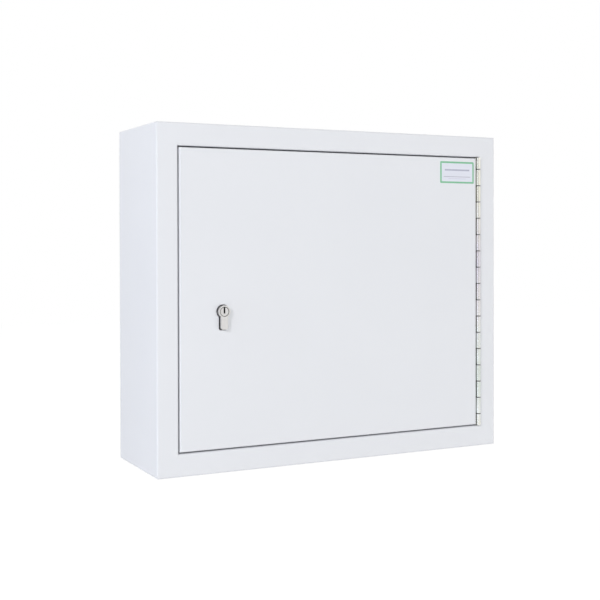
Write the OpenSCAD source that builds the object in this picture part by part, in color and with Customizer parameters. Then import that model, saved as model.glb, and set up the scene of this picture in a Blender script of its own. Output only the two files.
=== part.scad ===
// Lockable wall cabinet for medicines: a folded steel body with a face frame, a flush
// door on a full-height piano hinge, and a deadlock worked by a euro profile cylinder.
// Millimetres. X to the right, Z up, the front faces -Y. The origin is the centre of the
// wall-fixing holes, on the plane of the back.

/* [Body] */
// Overall width of the steel body
body_w = 550; // [440:1:700]
// Overall height of the steel body
body_h = 475; // [395:1:600]
// Depth from the wall to the face frame
body_d = 160; // [133:1:240]
// Sheet thickness of the body
body_t = 1.5; // [1.2:0.1:1.8]
// Outside radius of the body's bends
body_bend_r = 2.2; // [2:0.1:3]
// Width of the face frame's stile on the lock side
stile_lock_w = 30.5; // [25:0.5:36]
// Width of the face frame's stile on the hinge side
stile_hinge_w = 27.7; // [22:0.1:36]
// Width of the face frame's top and bottom rails
rail_w = 31; // [24:0.5:40]
// How far the return round the opening runs back past the face of the door stops
stop_leg = 9.6; // [6:0.2:16]

/* [Back panel] */
// Sheet thickness of the back panel
back_t = 1.2; // [1:0.1:1.5]
// Depth of the flanges that weld the back panel to the body
back_flange = 15; // [10:1:20]
// Diameter of each wall-fixing hole
fixing_d = 6; // [5:0.5:10]
// Distance between wall-fixing holes across the back
fixing_x = 450; // [300:1:480]
// Distance between wall-fixing holes up the back
fixing_z = 350; // [250:1:400]

/* [Door] */
// Gap between the door and the face frame
door_gap = 2; // [1.5:0.1:3]
// Depth of the folded door
door_d = 28; // [23:0.1:34]
// Sheet thickness of the door
door_t = 1.5; // [1.2:0.1:1.8]
// Outside radius of the door's bends
door_bend_r = 1.8; // [1.6:0.1:2.5]
// Width of the lip folded in round the back of the door
door_lip = 12; // [8:1:18]
// Gap between the back of the closed door and its stops
stop_gap = 0.4; // [0.3:0.1:1]
// How far the door stops reach into the opening
stop_w = 12; // [8:1:14]
// Width across the top of the door's stiffening channel
stiffener_w = 60; // [40:1:90]
// Depth of the door's stiffening channel
stiffener_d = 20; // [10:0.5:20]
// Place of the stiffening channel across the door, from the centre of the body
stiffener_x = 60; // [0:1:120]

/* [Hinge] */
// Diameter of the hinge pin
pin_d = 3.2; // [3:0.1:4]
// Sheet thickness of the hinge leaves
leaf_t = 1.5; // [1.2:0.1:1.8]
// Width of each hinge leaf, from the pin's centre
leaf_w = 26; // [20:0.5:26]
// Distance between the joints of the hinge's knuckles
knuckle_pitch = 25; // [15:0.5:40]
// How far the pin's centre stands in front of the face frame
hinge_proud = 1.5; // [1:0.1:3]
// Gap between the ends of the hinge and the rails
hinge_end_gap = 1; // [0.5:0.1:3]
// Distance between the rivets along each leaf
rivet_pitch = 50; // [35:1:70]

/* [Lock] */
// Distance from the door's edge to the cylinder's axis
backset = 62.5; // [58:0.5:75]
// Height of the deadbolt's centre above the middle of the door
bolt_z = 1; // [-40:1:60]
// Height of the deadbolt
bolt_h = 20; // [16:0.1:24]
// Thickness of the deadbolt
bolt_t = 8; // [6:0.1:10]
// Travel of the deadbolt
bolt_throw = 15.4; // [15.2:0.1:15.6]
// How far the lock case sits inside the back of the door
case_inset = 1; // [0.5:0.1:2]
// Outside thickness of the lock case
case_d = 14; // [13:0.5:14]
// Sheet thickness of the lock case and its cover
case_t = 1.5; // [1.2:0.1:1.5]
// Thickness of the lock's forend
forend_t = 2.5; // [2:0.1:3]
// Height of the lock's forend
forend_h = 100; // [95:1:120]

/* [Cylinder] */
// Diameter of the cylinder's barrel
barrel_d = 17; // [16.8:0.1:17.2]
// Width of the stem below the barrel
stem_w = 10; // [9.8:0.1:10.2]
// Height of the whole cylinder profile
profile_h = 33; // [32.5:0.1:34]
// Radius of the stem's bottom corners
stem_corner_r = 3; // [1:0.1:4]
// How far the cylinder's face stands in front of the door
cylinder_proud = 6; // [1:0.1:10]
// Length of the cylinder behind the cam's centre
cylinder_rear = 10; // [8.5:0.5:12]
// Diameter of the turning plug
plug_d = 12.6; // [12:0.1:13]
// Width of the cam
cam_w = 10; // [9:0.1:10]
// Radius that the cam's nose sweeps
cam_r = 15; // [14.8:0.1:15.2]

/* [Shelves] */
// Sheet thickness of a shelf
shelf_t = 1; // [0.8:0.1:1.5]
// Gap between a shelf's front edge and the return round the opening
shelf_front_gap = 6; // [2:0.5:40]
// Gap between a shelf's back edge and the back panel
shelf_back_gap = 2.8; // [1:0.1:20]
// Depth of the flange along a shelf's front and back edges
shelf_flange = 15; // [12:1:25]
// Depth of the flange at a shelf's ends
shelf_end_flange = 12; // [8:1:12]
// Distance between the slots of the shelf strips
slot_pitch = 25; // [20:1:32]
// Slot that carries the lower shelf, counted from the bottom
lower_slot = 5; // [3:1:6]
// Slot that carries the upper shelf, counted from the bottom
upper_slot = 11; // [9:1:12]
// How far the shelf strips stand off the side walls
strip_d = 5; // [4:0.5:8]
// Width of a shelf strip
strip_w = 20; // [16:1:26]

/* [Label] */
// Width of the label
label_w = 61.4; // [30:0.2:90]
// Height of the label
label_h = 32.8; // [15:0.2:45]
// Thickness of the label
label_t = 0.2; // [0.1:0.1:0.4]

/* [Hidden] */
$fn = 48;

white_paint = [0.93, 0.94, 0.95];
zinc = [0.80, 0.81, 0.80];
nickel = [0.76, 0.75, 0.73];
brass = [0.78, 0.66, 0.38];
spring_steel = [0.55, 0.56, 0.58];

// Clearances
skin_gap = 1.2;       // round the cylinder where it passes through the door's skin
fit = 0.1;            // between pieces that are welded, riveted or screwed together
running = 0.05;       // radial, between a pin or plug and its hole
slip = 0.3;           // between sliding or nested pieces
over = 1;             // how far a cutter passes the face it cuts
bend_crown = 0.012;   // how far a bend's arc would rise above the sheet it leaves

// Opening and door
front_y = -body_d;
open_x = [-body_w / 2 + stile_lock_w, body_w / 2 - stile_hinge_w];
open_z = [-body_h / 2 + rail_w, body_h / 2 - rail_w];
knuckle_r = pin_d / 2 + running + leaf_t;
door_x = [open_x[0] + door_gap, open_x[1] - 2 * knuckle_r];
door_z = [open_z[0] + door_gap, open_z[1] - door_gap];
door_y = [front_y, front_y + door_d];
stop_y = door_y[1] + stop_gap;
back_bend_r = back_t + 0.5;
return_y = stop_y + stop_leg;

// Hinge
pivot_x = open_x[1] - knuckle_r;
pivot_y = front_y - hinge_proud;
hinge_l = open_z[1] - open_z[0] - 2 * hinge_end_gap;
full_knuckles = 2 * floor((hinge_l / knuckle_pitch - 1.5) / 2) + 1;
end_knuckle = (hinge_l - full_knuckles * knuckle_pitch) / 2;
knuckle_gap = 0.6;    // total gap at a joint between knuckles
door_settle = 0.2;    // how far the door's knuckles sit below the middle of that gap
knuckle_notch = knuckle_r + 0.35;
seam = 0.3;           // slit where a rolled knuckle's end meets its own leaf
rivet_r = 1.6;
rivet_head_r = 3;
rivet_head_h = 0.9;
rivet_tail_r = 2.3;
rivet_tail_h = 1.6;
rivet_y = pivot_y + leaf_w * 0.58;
rivet_count = floor((hinge_l - 2 * rivet_pitch / 2) / rivet_pitch);

// Lock, with the cylinder's axis below the deadbolt
hub_r = barrel_d / 2 - 1;
hub_gap = 0.7;
lock_x = door_x[0] + backset;
lock_y = door_y[1] - case_inset - case_d / 2;
cylinder_y = [front_y - cylinder_proud, lock_y + cylinder_rear];
bolt_low = bolt_z - bolt_h / 2;
bolt_top = bolt_z + bolt_h / 2;
lock_z = bolt_low - hub_gap - hub_r;
cam_nose_r = 3;
cam_swing = 45;       // the cam drives the bolt this far to each side of upright
notch_w = 2 * (cam_nose_r + 1.15);
notch_roof = lock_z + cam_r + 0.6;
notch_x = lock_x + bolt_throw / 2;
bolt_nose_x = door_x[0] + 0.5;
bolt_tail_x = notch_x + notch_w / 2 + 8;
forend_x = [door_x[0] + door_t, door_x[0] + door_t + forend_t];
forend_zc = bolt_z - 12;
forend_z = [forend_zc - forend_h / 2, forend_zc + forend_h / 2];
case_y = [lock_y - case_d / 2, lock_y + case_d / 2];
inner_y = [case_y[0] + case_t, case_y[1] - case_t];
stem_drop = profile_h - barrel_d / 2;
spring_rise = 5.4;
spring_half = 25;
spring_r = (spring_half * spring_half + spring_rise * spring_rise) / (2 * spring_rise);
spring_t = 0.5;
case_x = [forend_x[1], bolt_tail_x + 4];
case_z = [lock_z - stem_drop - 6.5, bolt_top + 2 * fit + spring_rise + spring_t + case_t];
ear_w = 13;
stud_r = 2.5;
stud_x = case_x[1] + ear_w / 2 + 0.5;
stud_z = [case_z[0] + 9, case_z[1] - 9];
guide_x = case_x[0] + 13;
plug_bevel = 0.5;
pillar_r = 3;
tenon_r = 2;
corner_pillars = [[case_x[0] + 9, lock_z - 5], [case_x[1] - 7, case_z[0] + 7]];
screw_z = lock_z - stem_drop + 5;
forend_screw_z = [forend_z[0] + 6, forend_z[1] - 6];
strike_h = 70;
strike_w = 26;
strike_t = 2;
strike_screw_z = [bolt_z - strike_h / 2 + 9, bolt_z + strike_h / 2 - 9];

// Shelves and their strips
wall_x = body_w / 2 - body_t;
strip_t = 1.2;
strip_l = body_h - 2 * body_t - 2 * 22;
slot_count = floor((strip_l - slot_pitch) / slot_pitch);
slot_h = 3;
slot_w = 10;
shelf_y = [return_y + shelf_front_gap, -back_t - shelf_back_gap];
strip_y = [shelf_y[0] + 20, shelf_y[1] - 24];
clip_t = 1.2;
clip_w = 14;
ledge_l = 10;
ledge_t = 1.5;
shelf_half = wall_x - strip_d - clip_t - 1.3;
shelf_bend_r = shelf_t + 0.6;

// Label, near the door's top corner on the hinge side
label_in_x = 4.8;
label_in_z = 6.2;
label_x = [door_x[1] - label_in_x - label_w, door_x[1] - label_in_x];
label_z = [door_z[1] - label_in_z - label_h, door_z[1] - label_in_z];
label_corner_r = 1.5;

function slot_z(i) = -strip_l / 2 + slot_pitch * (i + 0.5)
    + (strip_l - slot_count * slot_pitch) / 2;
function shelf_top(i) = slot_z(i) + ledge_t + shelf_end_flange + fit;
function knuckle_z(i) = i == 0 ? -hinge_l / 2
    : i > full_knuckles + 1 ? hinge_l / 2
    : -hinge_l / 2 + end_knuckle + (i - 1) * knuckle_pitch;
function rivet_z(i, shift) = (i - (rivet_count - 1) / 2) * rivet_pitch + shift;

// ---- Shapes shared by several pieces ----

// Plain block between two limits on each axis
module block(x, y, z) {
    translate([x[0], y[0], z[0]]) cube([x[1] - x[0], y[1] - y[0], z[1] - z[0]]);
}

// Flat outline between limits u and v, with round corners at the low end of v
module round_front(u, v, r) {
    translate([u[0], v[0] + r]) square([u[1] - u[0], v[1] - v[0] - r]);
    translate([u[0] + r, v[0]]) square([u[1] - u[0] - 2 * r, 2 * r]);
    for (cu = [u[0] + r, u[1] - r]) translate([cu, v[0] + r]) circle(r);
}

// Flat outline between limits u and v, with round corners at the high end of v
module round_back(u, v, r) {
    translate([0, v[0] + v[1]]) mirror([0, 1]) round_front(u, v, r);
}

// Flat outline of sheet bent once into two legs, along the low ends of u and v
module bent_strip(u, v, t, r) {
    difference() {
        union() {
            translate([u[0] + r, v[0]]) square([u[1] - u[0] - r, v[1] - v[0]]);
            translate([u[0], v[0] + r]) square([r + over, v[1] - v[0] - r]);
            translate([u[0] + r, v[0] + r]) circle(r);
        }
        translate([u[0] + r, v[0] + t]) square([u[1] - u[0] - r + over, v[1] - v[0] - t + over]);
        translate([u[0] + t, v[0] + r]) square([r + over, v[1] - v[0] - r + over]);
        translate([u[0] + r, v[0] + r]) circle(r - t);
    }
}

// Flat outline of a hole between limits u, whose mouth at v[0] flares with radius r
module flared(u, v, r) {
    deep = v[0] + r - bend_crown;
    translate([u[0], v[0] - over]) square([u[1] - u[0], v[1] - v[0] + over]);
    difference() {
        translate([u[0] - r, v[0] - over]) square([u[1] - u[0] + 2 * r, deep - v[0] + over]);
        for (cu = [u[0] - r, u[1] + r]) translate([cu, deep]) circle(r);
    }
}

// Flat rectangle with four round corners
module round_rect(u, v, r) {
    translate([u[0] + r, v[0]]) square([u[1] - u[0] - 2 * r, v[1] - v[0]]);
    translate([u[0], v[0] + r]) square([u[1] - u[0], v[1] - v[0] - 2 * r]);
    for (cu = [u[0] + r, u[1] - r], cv = [v[0] + r, v[1] - r]) translate([cu, cv]) circle(r);
}

// Runs a flat X-Y outline up between two heights
module along_z(z) {
    translate([0, 0, z[0]]) linear_extrude(z[1] - z[0]) children();
}

// Runs a flat Y-Z outline across between two widths
module along_x(x) {
    translate([x[0], 0, 0]) rotate([90, 0, 90]) linear_extrude(x[1] - x[0]) children();
}

// Runs a flat X-Z outline back between two depths
module along_y(y) {
    translate([0, y[1], 0]) rotate([90, 0, 0]) linear_extrude(y[1] - y[0]) children();
}

// Block folded from sheet, its four front edges rounded and mitred at the corners
module folded_block(x, y, z, r) {
    intersection() {
        along_z(z) round_front(x, y, r);
        along_x(x) mirror([1, -1, 0]) round_front(z, y, r);
    }
}

// Tray folded down from sheet, with round edges at its top
module folded_tray(x, y, z, r) {
    intersection() {
        along_x(x) round_back(y, z, r);
        along_y(y) round_back(x, z, r);
    }
}

// Cutter for an opening whose edges are bent back into returns
module folded_opening(x, y, z, r) {
    reach = 3 * r;
    intersection() {
        along_z([z[0] - reach, z[1] + reach]) flared(x, y, r);
        along_x([x[0] - reach, x[1] + reach]) mirror([1, -1, 0]) flared(z, y, r);
    }
}

// Round bar along X, Y or Z between two places
module bar_x(x, y, z, r) { translate([x[0], y, z]) rotate([0, 90, 0]) cylinder(h = x[1] - x[0], r = r); }
module bar_y(x, y, z, r) { translate([x, y[1], z]) rotate([90, 0, 0]) cylinder(h = y[1] - y[0], r = r); }

// Countersunk head sunk from a face, towards +X where depth is positive, or towards -X
module sink_x(face, depth, y, z, wide, narrow) {
    translate([face, y, z]) rotate([0, depth > 0 ? 90 : -90, 0])
        cylinder(h = abs(depth), r1 = wide, r2 = narrow);
}

// Round mouth that widens by a bevel towards the front face at y
module mouth_y(x, y, z, r, bevel) {
    translate([x, y + bevel, z]) rotate([90, 0, 0])
        cylinder(h = bevel + fit, r1 = r, r2 = r + bevel + fit);
}

// Euro profile outline about the barrel's centre, grown by a clearance
module euro_profile(grow) {
    half = stem_w / 2 + grow;
    circle(barrel_d / 2 + grow);
    round_front([-half, half], [-stem_drop - grow, 0], stem_corner_r);
}

// Opening for the cylinder through a plate between two depths
module euro_hole(y, grow) {
    along_y(y) translate([lock_x, lock_z]) euro_profile(grow);
}

// ---- Body ----

module body_solid(inset, back) {
    half_w = body_w / 2 - inset;
    half_h = body_h / 2 - inset;
    r = body_bend_r - inset;
    intersection() {
        folded_block([-half_w, half_w], [front_y + inset, back], [-half_h, half_h], r);
        along_y([front_y - over, back]) round_rect([-half_w, half_w], [-half_h, half_h], r);
    }
}

module body_shell() {
    color(white_paint)
    difference() {
        union() {
            difference() {
                body_solid(0, 0);
                body_solid(body_t, over);
            }
            block([open_x[0] - body_t, open_x[1] + body_t], [front_y + body_t / 2, return_y],
                  [open_z[0] - body_t, open_z[1] + body_t]);
        }
        folded_opening(open_x, [front_y, return_y + over], open_z, body_bend_r);
        bolt_hole([open_x[0] - body_t - over, open_x[0] + over], 3);
        for (z = strike_screw_z)
            sink_x(open_x[0] + fit, -body_t - 2 * fit, lock_y, z, 3.6, 2.1);
        for (i = [0 : rivet_count - 1])
            bar_x([open_x[1] - over, open_x[1] + body_t + over], rivet_y, rivet_z(i, 0), rivet_r + running);
    }
}

// Hole that clears the deadbolt by a margin all round
module bolt_hole(x, margin) {
    block(x, [lock_y - bolt_t / 2 - margin, lock_y + bolt_t / 2 + margin],
          [bolt_low - margin, bolt_top + margin]);
}

module back_panel() {
    half_w = wall_x - fit;
    half_h = body_h / 2 - body_t - fit;
    color(white_paint)
    difference() {
        intersection() {
            along_y([-back_flange, 0])
                round_rect([-half_w, half_w], [-half_h, half_h], body_bend_r - body_t);
            along_z([-half_h, half_h]) round_back([-half_w, half_w], [-back_flange, 0], back_bend_r);
            along_x([-half_w, half_w])
                mirror([1, -1, 0]) round_back([-half_h, half_h], [-back_flange, 0], back_bend_r);
        }
        block([-half_w + back_t, half_w - back_t], [-back_flange - over, -back_t],
              [-half_h + back_t, half_h - back_t]);
        for (x = [-fixing_x / 2, fixing_x / 2], z = [-fixing_z / 2, fixing_z / 2])
            bar_y(x, [-back_t - over, over], z, fixing_d / 2);
    }
}

// Angle strips inside the opening that the closed door meets: lock side, top and bottom
module door_stops() {
    side_x = open_x[0] + fit;
    run_x = [side_x + stop_w + slip, door_x[1] - 4];
    leg_y = [stop_y, return_y];
    side_z = [open_z[0] + fit, open_z[1] - fit];
    color(white_paint) {
        along_z(side_z) bent_strip([side_x, side_x + stop_w], leg_y, body_t, body_bend_r);
        for (up = [0, 1]) mirror([0, 0, up])
            along_x(run_x) bent_strip(leg_y, [side_z[0], side_z[0] + stop_w], body_t, body_bend_r);
    }
}

module strike_plate() {
    x = [open_x[0] - body_t - fit - strike_t, open_x[0] - body_t - fit];
    color(zinc)
    difference() {
        along_x(x) round_rect([lock_y - strike_w / 2, lock_y + strike_w / 2],
                              [bolt_z - strike_h / 2, bolt_z + strike_h / 2], 3);
        bolt_hole([x[0] - over, x[1] + over], 0.5);
        for (z = strike_screw_z) bar_x([x[0] - over, x[1] + over], lock_y, z, 2 + running);
    }
}

module strike_screws() {
    face = open_x[0];
    color(zinc)
    for (z = strike_screw_z) {
        sink_x(face, -body_t, lock_y, z, 3.5, 2);
        bar_x([face - body_t - strike_t - 2.5, face - body_t + fit], lock_y, z, 2);
    }
}

// ---- Piano hinge ----

// Rolled knuckle with its root, about the pin; side is -1 for the door, 1 for the frame
module rolled_knuckle(side, z) {
    root = [min(side * knuckle_r, side * (knuckle_r - leaf_t)),
            max(side * knuckle_r, side * (knuckle_r - leaf_t))];
    slit = [min(side * (knuckle_r - leaf_t), side * (knuckle_r - leaf_t - seam)),
            max(side * (knuckle_r - leaf_t), side * (knuckle_r - leaf_t - seam))];
    translate([pivot_x, pivot_y, 0])
    along_z(z)
    difference() {
        union() {
            circle(knuckle_r);
            translate([root[0], 0]) square([leaf_t, knuckle_notch]);
        }
        circle(pin_d / 2 + running);
        translate([slit[0], 0]) square([seam, knuckle_notch]);
    }
}

// Hinge leaf with every second knuckle; first is the index of its lowest knuckle
module hinge_leaf(side, first, settle, rivet_shift) {
    flat_x = side > 0 ? [pivot_x + knuckle_r - leaf_t, pivot_x + knuckle_r]
                      : [pivot_x - knuckle_r, pivot_x - knuckle_r + leaf_t];
    difference() {
        union() {
            block(flat_x, [pivot_y + knuckle_notch, pivot_y + leaf_w], [-hinge_l / 2, hinge_l / 2]);
            for (i = [first : 2 : full_knuckles + 1])
                rolled_knuckle(side, [knuckle_z(i) + (i == 0 ? 0 : knuckle_gap / 2 - settle),
                    knuckle_z(i + 1) - (i > full_knuckles ? 0 : knuckle_gap / 2 + settle)]);
        }
        for (i = [0 : rivet_count - 1])
            bar_x([flat_x[0] - over, flat_x[1] + over], rivet_y, rivet_z(i, rivet_shift), rivet_r + running);
    }
}

module hinge_leaf_frame() { color(zinc) hinge_leaf(1, 0, 0, 0); }
module hinge_leaf_door() { color(zinc) hinge_leaf(-1, 1, door_settle, rivet_pitch / 4); }

module hinge_pin() {
    color(zinc) translate([pivot_x, pivot_y, -hinge_l / 2]) cylinder(h = hinge_l, r = pin_d / 2);
}

// Blind rivets through a leaf and the folded edge it lies on
module leaf_rivets(side, shift, sheet) {
    head_x = pivot_x + side * (knuckle_r - leaf_t);
    for (i = [0 : rivet_count - 1])
        translate([head_x, rivet_y, rivet_z(i, shift)]) rotate([0, side * 90, 0]) {
            translate([0, 0, -rivet_head_h]) cylinder(h = rivet_head_h, r1 = 1.9, r2 = rivet_head_r);
            cylinder(h = leaf_t + sheet, r = rivet_r);
            translate([0, 0, leaf_t + sheet]) cylinder(h = rivet_tail_h, r1 = rivet_tail_r, r2 = 1.4);
        }
}

module hinge_rivets_frame() { color(zinc) leaf_rivets(1, 0, body_t); }
module hinge_rivets_door() { color(zinc) leaf_rivets(-1, rivet_pitch / 4, door_t); }

// ---- Door ----

module door_panel() {
    lock_notch_z = [forend_z[0] - 3, forend_z[1] + 3];
    color(white_paint)
    difference() {
        folded_block(door_x, door_y, door_z, door_bend_r);
        block([door_x[0] + door_t, door_x[1] - door_t], [door_y[0] + door_t, door_y[1] - door_t],
              [door_z[0] + door_t, door_z[1] - door_t]);
        block([door_x[0] + door_lip, door_x[1] - door_lip], [door_y[1] - 2 * door_t, door_y[1] + over],
              [door_z[0] + door_lip, door_z[1] - door_lip]);
        block([door_x[0] + door_t, door_x[0] + door_lip + over], [door_y[1] - 2 * door_t, door_y[1] + over],
              lock_notch_z);
        euro_hole([door_y[0] - over, door_y[0] + door_t + over], skin_gap);
        bolt_hole([door_x[0] - over, door_x[0] + door_t + over], 0.5);
        for (z = forend_screw_z)
            sink_x(door_x[0] - fit, door_t + 2 * fit, lock_y, z, 3.6, 2.1);
        bar_x([door_x[0] - over, door_x[0] + door_t + over], lock_y, screw_z, 5.2);
        for (i = [0 : rivet_count - 1])
            bar_x([door_x[1] - door_t - over, door_x[1] + over], rivet_y,
                  rivet_z(i, rivet_pitch / 4), rivet_r + running);
    }
}

// Top-hat channel welded up the inside of the door
module door_stiffener() {
    t = 1.2;
    r = 2 * t;
    web = stiffener_w / 2 - 12;
    skin_y = door_y[0] + door_t + fit;
    top_y = skin_y + stiffener_d;
    z = [door_z[0] + door_t + 1, door_z[1] - door_t - 1];
    color(white_paint)
    translate([stiffener_x, 0, 0])
    along_z(z) {
        for (x = [-stiffener_w / 2, web - t / 2])
            translate([x, skin_y]) square([(stiffener_w + t) / 2 - web, t]);
        difference() {
            round_back([-web, web], [skin_y, top_y], r);
            round_back([t - web, web - t], [skin_y - over, top_y - t], r - t);
        }
    }
}

module label() {
    color([0.55, 0.78, 0.63])
    along_y([front_y - label_t, front_y]) round_rect(label_x, label_z, label_corner_r);
}

// ---- Deadlock ----

module lock_case() {
    color(zinc)
    difference() {
        union() {
            block([case_x[0], case_x[1] + ear_w], [case_y[0], inner_y[0]], case_z);
            block([case_x[1] - case_t, case_x[1]], [case_y[0], inner_y[1]], case_z);
            for (z = [case_z[0], case_z[1] - case_t])
                block(case_x, [case_y[0], inner_y[1]], [z, z + case_t]);
        }
        euro_hole([case_y[0] - over, inner_y[0] + over], slip);
        pillar_holes([case_y[0] - over, inner_y[0] + over]);
        for (z = stud_z) bar_y(stud_x, [case_y[0] - over, inner_y[0] + over], z, stud_r + fit);
    }
}

module pillar_holes(y) {
    for (p = corner_pillars) bar_y(p[0], y, p[1], tenon_r + running);
    bar_y(guide_x, y, bolt_z, tenon_r + running);
}

module lock_cover() {
    color(zinc)
    difference() {
        along_y([inner_y[1], case_y[1]]) round_rect(case_x, case_z, 1.2);
        euro_hole([inner_y[1] - over, case_y[1] + over], slip);
        pillar_holes([inner_y[1] - over, case_y[1] + over]);
    }
}

module lock_forend() {
    color(zinc)
    difference() {
        block(forend_x, [case_y[0] - 0.5, case_y[1] + 0.5], forend_z);
        bolt_hole([forend_x[0] - over, forend_x[1] + over], slip);
        for (z = forend_screw_z)
            bar_x([forend_x[0] - over, forend_x[1] + over], lock_y, z, 2 + running);
        sink_x(forend_x[0] - fit, forend_t + 2 * fit, lock_y, screw_z, 5.1, 2.6);
    }
}

module forend_screws() {
    color(zinc)
    for (z = forend_screw_z) {
        sink_x(door_x[0], door_t, lock_y, z, 3.5, 2);
        bar_x([door_x[0] + door_t - fit, forend_x[1] + 3], lock_y, z, 2);
    }
}

// Posts that hold the case and cover apart; one of them guides the deadbolt's slot
module lock_pillars() {
    color(zinc)
    for (p = concat(corner_pillars, [[guide_x, bolt_z]])) {
        bar_y(p[0], inner_y, p[1], pillar_r);
        bar_y(p[0], case_y, p[1], tenon_r);
    }
}

// Bowed leaf spring that bears on the deadbolt's top edge
module bolt_spring() {
    x = (case_x[0] + case_x[1]) / 2;
    low = bolt_top + fit;
    color(spring_steel)
    intersection() {
        along_y([lock_y - 3, lock_y + 3])
            translate([x, low + spring_r])
            difference() {
                circle(spring_r, $fn = 96);
                circle(spring_r - spring_t, $fn = 96);
            }
        block([x - spring_half, x + spring_half], inner_y, [low - over, case_z[1] - case_t]);
    }
}

module lock_studs() {
    color(zinc)
    for (z = stud_z) bar_y(stud_x, [door_y[0] + door_t, inner_y[0] + 6], z, stud_r);
}

module lock_spacers() {
    color(zinc)
    for (z = stud_z) difference() {
        bar_y(stud_x, [door_y[0] + door_t, case_y[0]], z, 4);
        bar_y(stud_x, [door_y[0], case_y[0] + over], z, stud_r + fit);
    }
}

module lock_nuts() {
    color(zinc)
    for (z = stud_z) difference() {
        translate([stud_x, inner_y[0] + 4, z]) rotate([90, 0, 0]) cylinder(h = 4, r = 4.6, $fn = 6);
        bar_y(stud_x, [inner_y[0] - over, inner_y[0] + 4 + over], z, stud_r + running);
    }
}

// Flat outline of the deadbolt's length, with its nose bevelled between limits v
module nose(v, bevel) {
    polygon([[bolt_nose_x + bevel, v[0]], [bolt_tail_x + over, v[0]], [bolt_tail_x + over, v[1]],
             [bolt_nose_x + bevel, v[1]], [bolt_nose_x, v[1] - bevel], [bolt_nose_x, v[0] + bevel]]);
}

// Deadbolt with its guide slot and the notch that the cam works in
module deadbolt() {
    y = [lock_y - bolt_t / 2, lock_y + bolt_t / 2];
    slot_r = pillar_r + 0.2;
    slot_x = [guide_x, guide_x + bolt_throw];
    bevel = 0.8;
    color(brass)
    difference() {
        intersection() {
            block([bolt_nose_x, bolt_tail_x], y, [bolt_low, bolt_top]);
            along_z([bolt_low - over, bolt_top + over]) nose(y, bevel);
            along_y([y[0] - over, y[1] + over]) nose([bolt_low, bolt_top], bevel);
        }
        for (x = slot_x) bar_y(x, [y[0] - over, y[1] + over], bolt_z, slot_r);
        block(slot_x, [y[0] - over, y[1] + over], [bolt_z - slot_r, bolt_z + slot_r]);
        block([notch_x - notch_w / 2, notch_x + notch_w / 2], [y[0] - over, y[1] + over],
              [bolt_low - over, notch_roof]);
    }
}

// ---- Euro profile half cylinder ----

module cylinder_body() {
    gap_y = [lock_y - cam_w / 2 - 0.2, lock_y + cam_w / 2 + 0.2];
    color(nickel)
    difference() {
        euro_hole(cylinder_y, 0);
        bar_y(lock_x, [cylinder_y[0] - over, gap_y[1] + 2.5], lock_z, plug_d / 2 + running);
        mouth_y(lock_x, cylinder_y[0], lock_z, plug_d / 2 + running, plug_bevel);
        bar_y(lock_x, gap_y, lock_z, cam_r + 0.5);
        bar_x([lock_x - stem_w, lock_x + stem_w], lock_y, screw_z, 2.4 + fit);
    }
}

module cylinder_screw() {
    color(zinc) {
        sink_x(forend_x[0], forend_t, lock_y, screw_z, 5, 2.4);
        bar_x([forend_x[1] - fit, lock_x + stem_w / 2 - 1], lock_y, screw_z, 2.4);
    }
}

// Plug, with its key slot upright and open at the top of the face
module cylinder_plug() {
    face_y = cylinder_y[0] + 0.3;
    hub_y = lock_y - cam_w / 2;
    end_y = lock_y + cam_w / 2 + 2;
    key_half = 1;
    slot_z = [lock_z - 2.4, lock_z + plug_d / 2 + over];
    color(nickel)
    difference() {
        union() {
            bar_y(lock_x, [face_y + plug_bevel, hub_y], lock_z, plug_d / 2);
            translate([lock_x, face_y + plug_bevel, lock_z]) rotate([90, 0, 0])
                cylinder(h = plug_bevel, r1 = plug_d / 2, r2 = plug_d / 2 - plug_bevel);
            intersection() {
                bar_y(lock_x, [hub_y - fit, end_y], lock_z, 4.5);
                block([lock_x - 3.6, lock_x + 3.6], [hub_y - over, end_y + over], [lock_z - 5, lock_z + 5]);
            }
        }
        block([lock_x - key_half, lock_x + key_half], [face_y - over, hub_y - 4], slot_z);
        along_z(slot_z) polygon([[lock_x - key_half - plug_bevel - over, face_y - over],
            [lock_x + key_half + plug_bevel + over, face_y - over],
            [lock_x, face_y + key_half + plug_bevel]]);
        circlip_groove(end_y);
    }
}

// Groove for the circlip, just behind the cam
module circlip_groove(end_y) {
    difference() {
        bar_y(lock_x, [end_y - 1.7, end_y - 0.7], lock_z, 6);
        bar_y(lock_x, [end_y - 2, end_y], lock_z, 3.4);
    }
}

// Cam with its nose, turned to the side on which it holds the bolt back
module cylinder_cam() {
    y = [lock_y - cam_w / 2, lock_y + cam_w / 2];
    tip = cam_r - cam_nose_r;
    color(nickel)
    difference() {
        union() {
            bar_y(lock_x, y, lock_z, hub_r);
            translate([lock_x, 0, lock_z]) rotate([0, cam_swing, 0]) {
                block([-cam_nose_r, cam_nose_r], y, [0, tip]);
                bar_y(0, y, tip, cam_nose_r);
            }
        }
        intersection() {
            bar_y(lock_x, [y[0] - over, y[1] + over], lock_z, 4.5 + running);
            block([lock_x - 3.65, lock_x + 3.65], [y[0] - over, y[1] + over], [lock_z - 6, lock_z + 6]);
        }
    }
}

// Open ring sprung into the plug's groove
module plug_circlip() {
    end_y = lock_y + cam_w / 2 + 2;
    color(spring_steel)
    difference() {
        bar_y(lock_x, [end_y - 1.6, end_y - 0.8], lock_z, 5.8);
        bar_y(lock_x, [end_y - 2, end_y], lock_z, 3.5);
        block([lock_x - 1.6, lock_x + 1.6], [end_y - 2, end_y], [lock_z - 7, lock_z]);
    }
}

// ---- Shelves ----

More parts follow.
